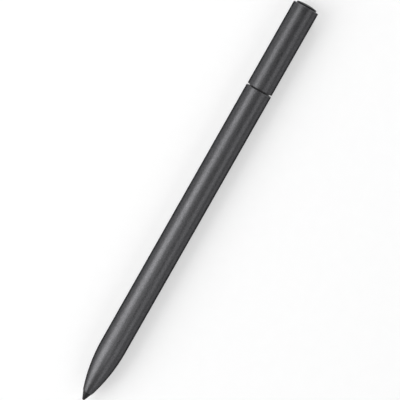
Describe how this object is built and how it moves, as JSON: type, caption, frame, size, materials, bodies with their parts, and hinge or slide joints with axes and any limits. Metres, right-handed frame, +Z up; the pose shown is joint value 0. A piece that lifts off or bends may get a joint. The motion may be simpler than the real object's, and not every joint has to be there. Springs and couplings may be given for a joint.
{
  "type": "stylus pen",
  "caption": "Round active stylus with a pressure nib, barrel buttons, a rear sleeve that slides back from its charging port, and a domed tail button.",
  "frame": {"origin": "middle of the pen's length, on the surface that the pen lies on, below its axis", "axes": "+X along the pen from the nib to the tail button, +Z up, barrel buttons on the -Y side"},
  "size_m": [0.1574, 0.0094, 0.0095],
  "materials": {
    "graphite_metal": "bead-blasted, dark grey anodised, satin",
    "nib_plastic": "hard matt nib plastic",
    "key_plastic": "moulded, satin",
    "black_plastic": "moulded, fine matt",
    "spring_steel": "drawn and rolled steel",
    "brass": "turned and plated",
    "board": "solder mask over glass laminate",
    "flex_film": "amber film",
    "chip": "moulded package",
    "chip_ceramic": "fired ceramic",
    "battery_wrap": "cell can with a thin film wrap",
    "soft_rubber": "silicone rubber",
    "light_plastic": "translucent"
  },
  "bodies": {
    "barrel": {"barrel": "graphite_metal", "nose_insert": "black_plastic", "tilt_ring": "brass", "rod_spring": "spring_steel", "sensor_pad": "soft_rubber", "force_sensor": "spring_steel", "sensor_flex": "flex_film", "chassis": "black_plastic", "main_board": "board", "board_screws": "spring_steel", "barrel_switches": "black_plastic", "controller_chip": "chip", "crystal": "spring_steel", "radio_chip": "chip", "radio_shield": "spring_steel", "passives": "chip_ceramic", "battery": "battery_wrap", "battery_tabs": "spring_steel", "tail_flex": "flex_film", "stem": "black_plastic", "stem_screws": "spring_steel", "port_shell": "spring_steel", "port_tongue": "black_plastic", "port_contacts": "brass", "charge_board": "board", "status_led": "light_plastic", "light_pipe": "light_plastic", "slide_ring": "soft_rubber", "detent_spring": "spring_steel", "tail_board": "board", "tail_switch": "black_plastic"},
    "pressure_rod": {"pressure_rod": "brass"},
    "nib": {"nib": "nib_plastic"},
    "front_button": {"front_button": "graphite_metal", "front_plunger": "black_plastic"},
    "rear_button": {"rear_button": "graphite_metal", "rear_plunger": "black_plastic"},
    "sleeve": {"sleeve": "graphite_metal", "tail_bush": "black_plastic", "tail_spring": "spring_steel"},
    "tail_button": {"tail_button": "key_plastic", "tail_clip": "spring_steel"},
    "tail_plunger": {"tail_plunger": "black_plastic"}
  },
  "joints": [
    {"name": "nib_press", "type": "slide", "parent": "barrel", "child": "pressure_rod", "axis": [1, 0, 0], "range_m": [0, 0.0003], "stiffness_N_per_m": 8000, "deforming": ["rod_spring", "sensor_pad"]},
    {"name": "nib_pull", "type": "slide", "parent": "pressure_rod", "child": "nib", "axis": [-1, 0, 0], "range_m": [0, 0.0125]},
    {"name": "front_button_press", "type": "slide", "parent": "barrel", "child": "front_button", "axis": [0, 0.7071, 0.7071], "range_m": [0, 0.00025], "stiffness_N_per_m": 4000},
    {"name": "rear_button_press", "type": "slide", "parent": "barrel", "child": "rear_button", "axis": [0, 0.7071, 0.7071], "range_m": [0, 0.00025], "stiffness_N_per_m": 4000},
    {"name": "sleeve_slide", "type": "slide", "parent": "barrel", "child": "sleeve", "axis": [1, 0, 0], "range_m": [0, 0.0127]},
    {"name": "tail_press", "type": "slide", "parent": "sleeve", "child": "tail_button", "axis": [-1, 0, 0], "range_m": [0, 0.0004], "stiffness_N_per_m": 3000, "deforming": ["tail_spring"]},
    {"name": "tail_plunger_press", "type": "slide", "parent": "barrel", "child": "tail_plunger", "axis": [-1, 0, 0], "range_m": [0, 0.0004]}
  ],
  "couplings": [
    {"joint": "tail_plunger_press", "follows": "tail_press", "ratio": 1}
  ]
}
